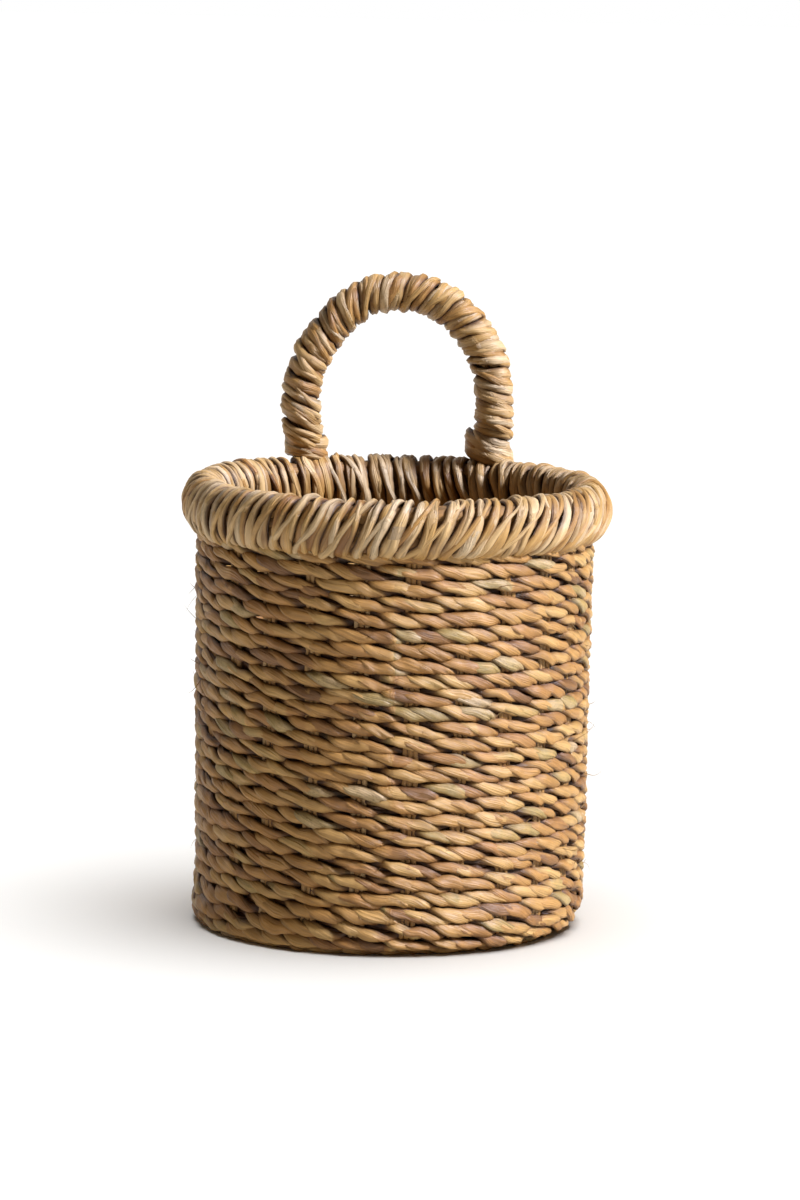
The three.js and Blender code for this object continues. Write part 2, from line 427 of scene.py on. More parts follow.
def finish_tree(tree, geometry, position, leaf, tone, run, light=1.0):
    """Stores what the leaf material reads, sets the points, closes the seams and ends the tree."""
    geometry = store(tree, geometry, "leaf_run", "FLOAT2", "CORNER", run)
    # The next attribute carries painted shade: a factor that darkens the leaf's colour in its crevices.
    geometry = store(tree, geometry, "leaf_painted_shade", "FLOAT", "POINT", light)
    geometry = store(tree, geometry, "leaf_seed", "FLOAT", "POINT", leaf)
    geometry = store(tree, geometry, "leaf_tone", "FLOAT", "POINT", tone)
    place = tree.nodes.new("GeometryNodeSetPosition")
    tree.links.new(geometry, place.inputs["Geometry"])
    tree.links.new(position, place.inputs["Position"])
    merge = tree.nodes.new("GeometryNodeMergeByDistance")
    merge.inputs["Distance"].default_value = MERGE_DISTANCE
    tree.links.new(place.outputs[0], merge.inputs["Geometry"])
    smooth = tree.nodes.new("GeometryNodeSetShadeSmooth")
    tree.links.new(merge.outputs[0], smooth.inputs[0])
    realize = tree.nodes.new("GeometryNodeRealizeInstances")
    tree.links.new(smooth.outputs[0], realize.inputs[0])
    paint = tree.nodes.new("GeometryNodeSetMaterial")
    tree.links.new(realize.outputs[0], paint.inputs["Geometry"])
    group = next(node for node in tree.nodes if node.bl_idname == "NodeGroupInput")
    tree.links.new(group.outputs["Material"], paint.inputs["Material"])
    output = tree.nodes.new("NodeGroupOutput")
    tree.links.new(paint.outputs[0], output.inputs[0])
    return tree


def surface_point(tree, s, lift, angle):
    """A point at distance s up the basket's middle surface and lift outside it, at an angle round it."""
    turn = limit(s / CURVE_RADIUS, 0.0, math.pi / 2)
    on_base = combine("MINIMUM", s, 0.0)
    on_wall = combine("MAXIMUM", s - CURVE_LENGTH, 0.0)
    radius = FLAT_RADIUS + on_base + (CURVE_RADIUS + lift) * sin(turn) + on_wall * FLARE
    height = FOOT + on_wall - (CURVE_RADIUS + lift) * cos(turn)
    return hand_shape(tree, radius, height, angle)


def hand_shape(tree, radius, height, angle):
    """Makes the round form a little uneven, with a foot that is fullest at the front left."""
    low = power(1.0 - ramp_between(height, 0.0, FOOT_HEIGHT), 2.0)
    outer = ramp_between(radius, *UNEVEN_RADII)
    towards = combine("MAXIMUM", cos(angle + FULLEST_SIDE), 0.0)
    bulge = low * outer * (power(towards, 2.0) * FRONT_FOOT_BULGE + FOOT_BULGE)
    sway = noise(tree, cos(angle) * SWAY_RATE, sin(angle) * SWAY_RATE, height * 14.0) * SWAY
    full = radius + bulge + sway * outer
    return vector(tree, full * sin(angle), full * cos(angle) * -1.0, height)


def end_taper(along, sharpness):
    """Closes an open strip to a point at both ends."""
    return power(limit((1.0 - magnitude(along * 2.0 - 1.0)) * sharpness, 0.0, 1.0), 0.5)


def lens(tree, across, along, width, thickness, roll, seed, creased=0.22):
    """A point on a strip's creased section, as its offsets along the width and out of the surface."""
    angle = across * (2 * math.pi)
    fold = sin(angle) * 1.2 + seed * 3.1
    crease = noise(tree, cos(angle) * 3.0, fold, along * CREASE_RATE, detail=2.0)
    flat = cos(angle) * width * 0.5
    high = sin(angle) * thickness * (0.5 + crease * creased)
    return flat * cos(roll) - high * sin(roll), flat * sin(roll) + high * cos(roll)


def twined_rows_tree(name, rows, steps_per_stake):
    """Twined rows: two strands of two strips each, which wind round each other past the stakes."""
    tree, size = new_tree(name, (
        "First row", "Row height", "Start", "Strip width", "Strip thickness", "Strand depth",
        "Strand height", "Strip spread", "Stagger", "Seed",
    ))
    geometry, along, across, strip = strip_sheets(
        tree, STAKE_COUNT * steps_per_stake, WEAVE_SIDES, rows * STRIPS_PER_ROW
    )
    row_here = floor((strip + 0.5) / STRIPS_PER_ROW)
    row = size["First row"] + row_here
    place = strip - row_here * STRIPS_PER_ROW
    weaver = floor((place + 0.5) / 2.0)
    side = (place - weaver * 2.0) * 2.0 - 1.0
    row_seed = row * 7.3 + size["Seed"] * 31.7
    strand_seed = row_seed + weaver * 3.3
    seed = row_seed + place * 1.61

    angle = along * (2 * math.pi)
    east = cos(angle)
    north = sin(angle)

    def drift(turns, key):
        return noise(tree, east * turns, north * turns, key)

    # Where each strip is in its turn round the stakes, and how far it runs ahead of its partner.
    uneven = 1.0 + drift(3.5, strand_seed + 9.0) * 0.75
    stagger = limit(size["Stagger"] * uneven, LEAST_STAGGER, MOST_STAGGER)
    close = 1.0 - stagger / MOST_STAGGER
    shift = (chance(row_seed) - 0.5) * 1.2 + drift(5.0, strand_seed) * 0.28 + side * stagger
    phase = (angle - FIRST_STAKE) * (STAKE_COUNT / 2) + weaver * math.pi + shift
    front = cos(phase)
    cross = sin(phase)
    open_share = 0.58 + 0.42 * power(magnitude(front), 0.8)

    # A strip is widest where it lies flat on a stake, and folds thicker where strands cross.
    plump = 1.0 + drift(4.5, seed + 3.0) * 0.31
    width = size["Strip width"] * open_share * plump * (1.0 - close * 0.25)
    thickness = size["Strip thickness"] * (1.35 - 0.35 * magnitude(front))
    thickness = thickness * (1.0 + drift(6.0, seed + 8.0) * 0.2)
    # Its place: up the row, out of the surface, and rolled about its own length.
    wander = drift(2.0, row_seed + 1.0) * ROW_WANDER + drift(7.0, row_seed + 2.0) * ROW_RIPPLE
    rise = side * size["Strip spread"] * close * open_share - size["Strand height"] * cross + wander
    rise = rise + drift(9.0, seed + 4.0) * STRIP_WANDER
    flattened = front * (1.5 - 0.5 * front * front)
    lift = size["Strand depth"] * flattened + drift(8.0, seed + 5.0) * STRIP_LIFT
    roll = phase - sin(phase * 2.0) * 0.32 + drift(7.0, seed + 6.0) * 0.34 - front * SHINGLE
    flat, high = lens(tree, across, drift(12.0, seed) * 0.01, width, thickness, roll, seed)
    s = size["Start"] + (row + 0.5) * size["Row height"] + rise + flat
    position = surface_point(tree, s, lift + high, angle)

    # Its colour: one draw for each stitch and one for each long leaf.
    stitch = floor((phase + math.pi / 2) / math.pi)
    leaf = chance(stitch * 3.7 + seed * 11.3)
    long_leaf = chance(floor(along * 4.0 + chance(seed + 0.5)) * 5.1 + seed * 2.9)
    tone = limit(long_leaf * 0.5 + leaf * 0.62 - 0.06, 0.0, 1.0)
    run = vector(tree, along * (2 * math.pi * WALL_FOOT_RADIUS), across, 0.0)
    # Painted shade: the colour darkens where a strip sinks towards the middle of the wall, in the crevices
    # between rows and behind the stakes.
    depth = magnitude(lift + high)
    light = PAINTED_CREVICE_SHADE + (1.0 - PAINTED_CREVICE_SHADE) * ramp_between(depth, *WEAVE_SHADE_DEPTHS)
    return finish_tree(tree, geometry, position, leaf + seed, tone, run, light)


def stake_tree():
    """A bundle of three strands that follows the base, the foot and the wall."""
    tree, size = new_tree("Stake bundle", ("Number", "Strand width", "Strip thickness", "Seed"))
    geometry, along, across, strip = strip_sheets(tree, STAKE_STEPS, STAKE_SIDES, STAKE_STRANDS)
    seed = size["Number"] * 5.7 + strip * 1.9 + size["Seed"] * 17.0
    start = KNOT_RADIUS - FLAT_RADIUS
    s = start + along * (WEAVE_LENGTH + STAKE_TOP - WALL_TOP - start)
    share_of_round = (s + FLAT_RADIUS) * (2 * math.pi / STAKE_COUNT)
    room = limit((share_of_round - STAKE_GAP) / STAKE_ROOM, 0.1, 1.0)
    width = size["Strand width"] * room * end_taper(along, 60.0)
    width = width * (1.0 + noise(tree, s * 60.0, seed, 1.0) * 0.2)
    thickness = size["Strip thickness"] * 0.9 * end_taper(along, 60.0)
    beside = (strip - 1.0) * size["Strand width"] * room * 0.92
    beside = beside + noise(tree, s * 45.0, seed, 2.0) * (0.25 * MM)
    lift = noise(tree, s * 50.0, seed, 3.0) * (0.2 * MM)
    flat, high = lens(tree, across, s, width, thickness, 0.0 * along, seed)
    radius = combine("MAXIMUM", limit(s + FLAT_RADIUS, 0.0, WALL_FOOT_RADIUS), KNOT_RADIUS * 0.8)
    angle = FIRST_STAKE + size["Number"] * (2 * math.pi / STAKE_COUNT) + (beside + flat) / radius
    position = surface_point(tree, s, lift + high, angle)
    tone = chance(seed) * 0.7 + 0.1
    run = vector(tree, s, across, 0.0)
    return finish_tree(tree, geometry, position, chance(seed + 0.3) + seed, tone, run)


def bundle_tree(name, point, section, length_along, steps, closed):
    """A core: strands that lie side by side along a path and twist slowly round its middle one."""
    tree, size = new_tree(name, ("Strand width", "Twists", "Seed"))
    geometry, along, across, strip = strip_sheets(tree, steps, CORE_SIDES, CORE_STRANDS)
    seed = strip * 2.3 + size["Seed"]
    outer = combine("MINIMUM", strip, 1.0)
    swing = strip * (2 * math.pi / (CORE_STRANDS - 1)) + along * size["Twists"] * (2 * math.pi)
    reach_out = outer * (section[0] - size["Strand width"] * 0.5)
    reach_up = outer * (section[1] - size["Strand width"] * 0.5)
    width = size["Strand width"] * 1.1
    if not closed:
        width = width * end_taper(along, 40.0)
    ripple = magnitude(along * 2.0 - 1.0) if closed else along
    flat, high = lens(tree, across, ripple, width, width * 0.85, swing, seed)
    where = along * length_along
    position = point(tree, where, cos(swing) * reach_out + flat, sin(swing) * reach_up + high)
    run = vector(tree, where, across, 0.0)
    return finish_tree(tree, geometry, position, chance(seed) + seed, chance(seed + 0.2), run)


def crossed_tree():
    """The start of the base: strips laid across each other, over one and under one, trimmed round."""
    tree, size = new_tree("Crossed start", ("Strip width", "Strip thickness", "Seed"))
    half = KNOT_STRIPS // 2
    geometry, along, across, strip = strip_sheets(tree, KNOT_STEPS, KNOT_SIDES, KNOT_STRIPS * 2)
    turned = floor((strip + 0.5) / KNOT_STRIPS)
    number = strip - turned * KNOT_STRIPS - half
    seed = strip * 1.7 + size["Seed"]
    pitch = 2 * KNOT_RADIUS / KNOT_STRIPS
    beside = number * pitch
    reach = power(KNOT_RADIUS * KNOT_RADIUS - beside * beside, 0.5)
    u = (along * 2.0 - 1.0) * reach
    width = size["Strip width"] * end_taper(along, 12.0)
    width = width * (1.0 + noise(tree, u * 90.0, seed, 1.0) * 0.1)
    thickness = size["Strip thickness"] * end_taper(along, 12.0)
    flat, high = lens(tree, across, u, width, thickness, 0.0 * u, seed)
    wave = cos((u / pitch + number + turned) * math.pi) * KNOT_WAVE
    v = beside + flat
    x = u - (u + v) * turned
    y = v + (u - v) * turned
    position = vector(tree, x, y, WALL_THICKNESS / 2 + wave + high)
    run = vector(tree, u, across, 0.0)
    return finish_tree(tree, geometry, position, chance(seed) + seed, chance(seed + 0.6), run)


def fibre_tree():
    """Loose leaf fibres that stand out of the weave."""
    tree, size = new_tree("Loose fibres", ("Fibre width", "Fibre length", "Seed"))
    geometry, along, across, strip = strip_sheets(tree, FIBRE_STEPS, FIBRE_SIDES, LOOSE_FIBRES)
    seed = strip * 3.7 + size["Seed"] * 5.3
    length_here = size["Fibre length"] * (0.35 + chance(seed + 0.1))
    heading = (chance(seed + 0.2) - 0.5) * 2.4
    start = CURVE_LENGTH + chance(seed + 0.3) * (WALL_TOP - FOOT - FIBRE_FREE_TOP)
    curl = along * along * (chance(seed + 0.4) - 0.5) * 1.6
    ahead = along * length_here
    width = size["Fibre width"] * (1.1 - along) * (0.6 + chance(seed + 0.5) * 0.8)
    width = width * end_taper(along, 6.0)
    section = across * (2 * math.pi)
    s = start + ahead * (sin(heading) + curl) + cos(section) * width
    lift = FIBRE_LIFT + ahead * (0.25 + chance(seed + 0.6) * 0.5) + sin(section) * width
    angle = chance(seed + 0.7) * (2 * math.pi) + ahead * (cos(heading) - curl * 0.5) / WALL_FOOT_RADIUS
    position = surface_point(tree, s, lift, angle)
    run = vector(tree, ahead, across, 0.0)
    return finish_tree(tree, geometry, position, chance(seed) + seed, 0.3 + chance(seed) * 0.7, run)


def rim_point(tree, along, outward, upward):
    """A point on the rim: along its ring, and outward and upward from the middle of its roll."""
    angle = along / RIM_RADIUS
    lump = noise(tree, cos(angle) * 9.0, sin(angle) * 9.0, 3.3) * RIM_LUMP + RIM_LIFT
    sway = noise(tree, cos(angle) * SWAY_RATE, sin(angle) * SWAY_RATE, 2.5) * SWAY
    radius = RIM_RADIUS + outward + sway
    return vector(tree, radius * sin(angle), radius * cos(angle) * -1.0, RIM_MIDDLE + upward + lump)


def foot_set(below):
    """How far back a leg leans, at a distance below the arch, so that its foot sinks into the rim."""
    return power(ramp_between(below, HANDLE_LEG * FOOT_SET_START, HANDLE_LEG), 1.5) * FOOT_SET


def handle_point(tree, along, outward, upward):
    """A point on the handle: along its arch, outward in its plane, and upward is away behind it."""
    arch = math.pi * HANDLE_SPAN
    turn = limit((along - HANDLE_LEG) / HANDLE_SPAN, 0.0, math.pi)
    down_leg = combine("MAXIMUM", along - HANDLE_LEG - arch, 0.0)
    up_leg = combine("MINIMUM", along, HANDLE_LEG) - HANDLE_LEG
    below = (down_leg - up_leg) / HANDLE_LEG
    bulge_share = limit(below + BULGE_ABOVE_LEG, 0.0, BULGE_REACH)
    bulge = sin(bulge_share * (math.pi / BULGE_REACH)) * HANDLE_BULGE
    bulge = bulge * limit(1.0 - sin(turn) * 1.6, 0.0, 1.0)
    wobble = noise(tree, along * 42.0, 4.0, 1.0) * HANDLE_WOBBLE
    shoulder = sin(turn * 2.0)
    squeeze_left = combine("MAXIMUM", shoulder, 0.0) * LEFT_SQUEEZE
    squeeze_right = combine("MINIMUM", shoulder, 0.0) * RIGHT_SQUEEZE
    reach = HANDLE_SPAN + outward + bulge - (squeeze_left - squeeze_right) + wobble
    x = -1.0 * cos(turn) * reach
    z = HANDLE_SPRING + sin(turn) * (HANDLE_SPAN + outward + wobble) + up_leg - down_leg
    sideways = noise(tree, along * 30.0, 9.0, 2.0) * HANDLE_WOBBLE
    y = HANDLE_Y + upward + foot_set(below * HANDLE_LEG) + sideways
    return vector(tree, x, y, z)


def lashing_point(side):
    """The path of a lashing: straight down the foot of one handle leg."""
    low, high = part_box("lashing_left" if side < 0 else "lashing_right")
    middle = (low[0] + high[0]) / 2

    def point(tree, along, outward, upward):
        height = high[2] + LASHING_LIFT - along
        return vector(tree, middle + outward, HANDLE_Y + LASHING_SET + upward, height)

    return point


def wound_tree(name, point, section, steps_per_turn, turns, total_length, closed=False):
    """Strips wound round a path: a wide one, a narrow one beside it and one that crosses over both."""
    tree, size = new_tree(name, (
        "Turns", "Strip width", "Strip thickness", "Lean", "Lean turn", "Lean fade", "Cross lean",
        "Cross rise", "Sink", "Rise", "Disorder", "Seed",
    ))
    geometry, along, across, strip = strip_sheets(tree, turns * steps_per_turn, WOUND_SIDES, WOUND_STRIPS)
    crossing = floor((strip + 0.5) / 2.0)
    beside = strip - crossing * 2.0
    turns_here = size["Turns"] - crossing * floor(size["Turns"] * 0.5)
    around = along * turns_here * (2 * math.pi) + strip * 2.1
    seed = size["Seed"] * 9.1 + strip * 4.7
    ring = along * (2 * math.pi)
    east = cos(ring)
    north = sin(ring)

    def drift(turns_share, key):
        rate = turns_here * turns_share
        return noise(tree, east * rate, north * rate, key + seed)

    # Where the strip lies along the path, and how much it slants.
    fade = 1.0 - size["Lean fade"] * (0.5 - north * 0.5 if closed else along)
    lean = 1.0 + drift(0.07, 2.0) * 0.75 + drift(0.7, 12.0) * size["Disorder"]
    lean = size["Lean"] * fade * lean
    lean = lean + crossing * size["Cross lean"] * (1.0 + drift(0.4, 13.0))
    pitch = total_length / size["Turns"]
    where = along * total_length + beside * pitch * 0.5
    where = where + drift(0.28, 1.0) * size["Strip width"] * 0.32
    where = where + lean * sin(around + size["Lean turn"])
    # Its section, which narrows on the side of each turn where the strip is folded.
    fold = power(limit(sin(around + drift(0.3, 14.0) * 1.2), 0.0, 1.0), 2.0)
    width = size["Strip width"] * (1.0 - beside * 0.22 - crossing * 0.16)
    width = width * (1.0 + drift(0.22, 5.0) * 0.34)
    width = width * (1.0 - fold * size["Disorder"] * 0.55 + drift(1.2, 15.0) * size["Disorder"] * 0.5)
    thickness = size["Strip thickness"] * (1.0 + drift(0.12, 6.0) * 0.2)
    taper = 1.0 if closed else end_taper(along, turns_here * 2.4)
    width = width * taper
    thickness = thickness * taper
    # How it rolls and how proud it lies.
    roll = size["Sink"] + drift(0.25, 7.0) * 0.30 + drift(1.1, 16.0) * size["Disorder"] * 0.7
    ripple = drift(0.5, 3.0) * 0.01
    flat, high = lens(tree, across, ripple, width, thickness, roll, seed, creased=WOUND_CREASE)
    proud = high + drift(0.3, 8.0) * WOUND_WANDER + crossing * size["Cross rise"]
    proud = proud + drift(1.0, 17.0) * size["Disorder"] * WOUND_DISORDER
    outward = size["Rise"] + proud
    if not closed:
        outward = outward - (1.0 - taper) * END_SINK
    half_out, half_up = section
    position = point(
        tree, where + flat, cos(around) * (outward + half_out), sin(around) * (outward + half_up)
    )
    # Its colour: one draw for each turn and one for each long leaf.
    turn_number = floor(along * turns_here + 0.25)
    leaf = chance(turn_number + seed)
    long_leaf = chance(floor(along * turns_here / 6.0) + seed + 0.4)
    tone = limit(long_leaf * 0.45 + leaf * 0.65 - 0.05, 0.0, 1.0)
    run = vector(tree, around * max(section), across, 0.0)
    # Painted shade: the colour darkens where a strip lies low, in the crevices between neighbouring turns.
    light = PAINTED_CREVICE_SHADE + (1.0 - PAINTED_CREVICE_SHADE) * ramp_between(proud, 0.0, WOUND_SHADE_DEPTH)
    return finish_tree(tree, geometry, position, leaf + turn_number, tone, run, light)


# ---- Pieces ----

def evaluated_piece(name, tree, values, material):
    """Runs a tree on an empty mesh and keeps the result as a plain mesh whose faces point out."""
    holder = bpy.data.objects.new(name + "_maker", bpy.data.meshes.new(name + "_maker"))
    bpy.context.scene.collection.objects.link(holder)
    modifier = holder.modifiers.new("Maker", "NODES")
    modifier.node_group = tree
    inputs = [item for item in tree.interface.items_tree if item.in_out == "INPUT"]
    sockets = {item.name: item.identifier for item in inputs}
    for label, value in values.items():
        modifier[sockets[label]] = float(value)
    modifier[sockets["Material"]] = material
    graph = bpy.context.evaluated_depsgraph_get()
    mesh = bpy.data.meshes.new_from_object(holder.evaluated_get(graph), depsgraph=graph)
    bpy.data.objects.remove(holder)
    mesh.name = name
    mesh.materials.clear()
    mesh.materials.append(material)
    for spare in ("along", "across"):
        if spare in mesh.attributes:
            mesh.attributes.remove(mesh.attributes[spare])
    shape = bmesh.new()
    shape.from_mesh(mesh)
    if shape.calc_volume(signed=True) < 0.0:
        bmesh.ops.reverse_faces(shape, faces=shape.faces)
        shape.to_mesh(mesh)
    shape.free()
    piece = bpy.data.objects.new(name, mesh)
    bpy.context.scene.collection.objects.link(piece)
    return piece


def settle(piece, slot, *nodes):
    """Attaches a finished piece to the root and hides the frame parts that it stands for; its slot is not
    used.
    """
    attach(piece, "root")
    if nodes:
        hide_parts(*nodes)


# ---- Materials ----

def leaf_material(name, shades, roughness=0.47):
    """Dried leaf: a shade for each strip, fibres that run along it, blotches, specks, painted shade at
    strip edges and in crevices, and a fine relief.
    """
    material = bpy.data.materials.get(name) or bpy.data.materials.new(name)
    material.use_nodes = True
    tree = material.node_tree
    tree.nodes.clear()
    shader = tree.nodes.new("ShaderNodeBsdfPrincipled")
    output = tree.nodes.new("ShaderNodeOutputMaterial")
    tree.links.new(shader.outputs[0], output.inputs[0])

    def attribute(label):
        node = tree.nodes.new("ShaderNodeAttribute")
        node.attribute_name = label
        return node

    run = attribute("leaf_run")
    split = tree.nodes.new("ShaderNodeSeparateXYZ")
    tree.links.new(run.outputs["Vector"], split.inputs[0])
    along = Term(tree, split.outputs[0])
    across = Term(tree, split.outputs[1])
    seed = Term(tree, attribute("leaf_seed").outputs["Fac"])
    tone = Term(tree, attribute("leaf_tone").outputs["Fac"])
    light = Term(tree, attribute("leaf_painted_shade").outputs["Fac"])

    fibres = noise(tree, along * 70.0, across * 30.0, seed * 3.0, detail=3.0, roughness=0.6)
    veins = noise(tree, along * 35.0, across * 13.0, seed * 5.0, detail=2.0)
    blotch = noise(tree, along * 130.0, across * 3.0, seed * 7.0, detail=2.0)
    flaws = ramp_between(noise(tree, along * 55.0, across * 7.0, seed * 2.0, detail=2.0), 0.75, 1.25)
    specks = noise(tree, along * 1100.0, across * 24.0, seed, detail=2.0)

    ramp = tree.nodes.new("ShaderNodeValToRGB")
    stops = ramp.color_ramp.elements
    for index, (place, shade) in enumerate(shades):
        stop = stops[index] if index < 2 else stops.new(place)
        stop.position = place
        stop.color = (*shade, 1.0)
    feed(ramp.inputs[0], tone + blotch * 0.09)

    # Painted shade: the colour darkens towards each strip's two edges, where it turns away from the light
    # and meets its neighbours. The rest of the shade is the leaf's own streaks, blotches, specks and
    # flaws.
    painted_edge_shade = power(magnitude(cos(across * (2 * math.pi))), 9.0)
    fleck = ramp_between(tone, 0.72, 0.95) * ramp_between(specks, 0.10, 0.75)
    shade = 1.0 + fibres * 0.22 + veins * 0.22 + blotch * 0.09
    shade = limit(shade - painted_edge_shade * 0.40 - fleck * 0.42 - flaws * 0.42, 0.25, 1.5)
    # Painted shade: the crevice factor darkens the colour, green and blue more than red, so that the
    # painted shadows turn a warmer brown.
    tint = tree.nodes.new("ShaderNodeVectorMath")
    tint.operation = "MULTIPLY"
    tree.links.new(ramp.outputs[0], tint.inputs[0])
    warm_shadow = vector(tree, shade * light, shade * power(light, 1.25), shade * power(light, 1.6))
    feed(tint.inputs[1], warm_shadow)
    tree.links.new(tint.outputs[0], shader.inputs["Base Color"])

    feed(shader.inputs["Roughness"], limit(roughness + fibres * 0.08 + fleck * 0.15, 0.25, 0.95))
    shader.inputs["Specular IOR Level"].default_value = 0.55
    bump = tree.nodes.new("ShaderNodeBump")
    bump.inputs["Strength"].default_value = 1.0
    bump.inputs["Distance"].default_value = RELIEF
    feed(bump.inputs["Height"], veins * 0.5 + fibres * 0.5 + specks * 0.10)
    tree.links.new(bump.outputs[0], shader.inputs["Normal"])
    return material


def pale(shade):
    """The same leaf after more sun: lighter and a little greyer."""
    return tuple(value + (aim - value) * PALE_SHARE for value, aim in zip(shade, PALE_LEAF))


def weave_material():
    c = bpy.context.scene.basket_colours
    return leaf_material("Seagrass weave", (
        (0.00, c.brown), (0.18, c.amber), (0.46, c.gold), (0.77, c.straw), (0.86, c.olive),
        (1.00, c.silver),
    ))


def rim_material():
    c = bpy.context.scene.basket_colours
    return leaf_material("Seagrass rim wrap", (
        (0.00, c.amber), (0.10, c.gold), (0.30, c.straw), (0.62, pale(c.straw)), (1.00, pale(c.silver)),
    ))


def handle_material():
    c = bpy.context.scene.basket_colours
    return leaf_material("Seagrass handle wrap", (
        (0.00, c.amber), (0.14, c.gold), (0.38, c.straw), (0.70, pale(c.straw)), (1.00, pale(c.silver)),
    ))


def stake_material():
    c = bpy.context.scene.basket_colours
    return leaf_material("Seagrass stake", ((0.0, c.amber), (0.5, c.gold), (1.0, c.silver)))


def core_material():
    c = bpy.context.scene.basket_colours
    return leaf_material("Seagrass core", ((0.0, c.brown), (1.0, c.gold)), roughness=0.7)


# ---- Operators ----

def weave_values(sizes, first_row, start, pitch, seed):
    """What a tree of twined rows is given, for the rows from first_row up."""
    return {
        "First row": first_row, "Start": start, "Row height": pitch, "Strip width": sizes.strip_width,
        "Strip thickness": sizes.strip_thickness, "Strand depth": sizes.strand_depth,
        "Strand height": sizes.strand_height, "Strip spread": sizes.strip_spread,
        "Stagger": sizes.stagger, "Seed": seed,
    }


class BASKET_OT_wall(bpy.types.Operator):
    """Weave the wall, one piece for each course of two rows"""
    bl_idname = "basket.wall"
    bl_label = "Weave wall"

    def execute(self, context):
        sizes = context.scene.basket_sizes
        plain = twined_rows_tree("Twined wall rows", ROWS_PER_COURSE, WALL_STEPS)
        top = twined_rows_tree("Twined wall rows under the rim", ROWS_PER_COURSE + 1, WALL_STEPS)
        material = weave_material()
        for index, node in enumerate(WALL_COURSES):
            tree = top if node == WALL_COURSES[-1] else plain
            values = weave_values(sizes, index * ROWS_PER_COURSE, 0.0, WALL_PITCH, sizes.seed)
            piece = evaluated_piece(node + "_weave", tree, values, material)
            settle(piece, "weave_leaf", node)
        return {"FINISHED"}


class BASKET_OT_base(bpy.types.Operator):
    """Weave the base: the crossed strips it starts from, and one piece for each course of two rounds"""
    bl_idname = "basket.base"
    bl_label = "Weave base"

    def execute(self, context):
        sizes = context.scene.basket_sizes
        tree = twined_rows_tree("Twined base rounds", ROWS_PER_COURSE, BASE_STEPS)
        material = weave_material()
        for index, node in enumerate(BASE_COURSES):
            start = KNOT_RADIUS - FLAT_RADIUS
            values = weave_values(sizes, index * ROWS_PER_COURSE, start, BASE_PITCH, sizes.seed + 1)
            piece = evaluated_piece(node + "_weave", tree, values, material)
            settle(piece, "weave_leaf", node)
        values = {
            "Strip width": sizes.strip_width, "Strip thickness": sizes.strip_thickness, "Seed": sizes.seed,
        }
        knot = evaluated_piece("base_crossed_strips", crossed_tree(), values, material)
        settle(knot, "weave_leaf", "base_centre_knot")
        return {"FINISHED"}


class BASKET_OT_fibres(bpy.types.Operator):
    """Add the loose fibres that stand out of the wall"""
    bl_idname = "basket.fibres"
    bl_label = "Add loose fibres"

    def execute(self, context):
        sizes = context.scene.basket_sizes
        values = {"Fibre width": FIBRE_WIDTH, "Fibre length": sizes.fibre_length, "Seed": sizes.seed}
        piece = evaluated_piece("wall_loose_fibres", fibre_tree(), values, weave_material())
        settle(piece, "weave_leaf")
        return {"FINISHED"}


class BASKET_OT_stakes(bpy.types.Operator):
    """Make the stake bundles that the weave goes round"""
    bl_idname = "basket.stakes"
    bl_label = "Set stakes"

    def execute(self, context):
        sizes = context.scene.basket_sizes
        tree = stake_tree()
        material = stake_material()
        for index, node in enumerate(STAKES):
            values = {
                "Number": index, "Strand width": sizes.stake_strand,
                "Strip thickness": sizes.strip_thickness, "Seed": sizes.seed,
            }
            piece = evaluated_piece(node + "_bundle", tree, values, material)
            settle(piece, "stake_leaf", node)
        return {"FINISHED"}


class BASKET_OT_rim(bpy.types.Operator):
    """Lay the core and the filling of the rim and wind the leaf over them"""
    bl_idname = "basket.rim"
    bl_label = "Wind rim"

    def execute(self, context):
        sizes = context.scene.basket_sizes
        around = 2 * math.pi * RIM_RADIUS
        section = (RIM_CORE_RADIUS, RIM_CORE_RADIUS)
        core = bundle_tree("Rim core", rim_point, section, around, RIM_CORE_STEPS, True)
        values = {"Strand width": RIM_CORE_RADIUS * 2 / 3, "Twists": 6, "Seed": sizes.seed}
        piece = evaluated_piece("rim_core_strands", core, values, core_material())
        settle(piece, "core_bundle", "rim_core")
        inside = (RIM_HALF_WIDTH - sizes.wound_thickness, RIM_HALF_HEIGHT - sizes.wound_thickness)
        ends = bundle_tree("Rim filling", rim_point, inside, around, RIM_CORE_STEPS, True)
        values = {"Strand width": inside[1] * 0.95, "Twists": 0, "Seed": sizes.seed + 5}
        piece = evaluated_piece("rim_bent_stake_ends", ends, values, core_material())
        settle(piece, "core_bundle")

        section = (RIM_HALF_WIDTH, RIM_HALF_HEIGHT - RIM_LIFT)
        tree = wound_tree(
            "Wound rim", rim_point, section, RIM_STEPS_PER_TURN, sizes.rim_turns, around, closed=True
        )
        values = {
            "Turns": sizes.rim_turns, "Strip width": sizes.rim_strip,
            "Strip thickness": sizes.wound_thickness, "Lean": 5.0 * MM, "Lean turn": 0.0,
            "Lean fade": 0.75, "Cross lean": 4.4 * MM, "Cross rise": 0.7 * MM, "Sink": 0.20,
            "Rise": WOUND_RISE, "Disorder": sizes.disorder, "Seed": sizes.seed,
        }
        piece = evaluated_piece("rim_wound_leaf", tree, values, rim_material())
        settle(piece, "rim_leaf", "rim_wrap")
        return {"FINISHED"}


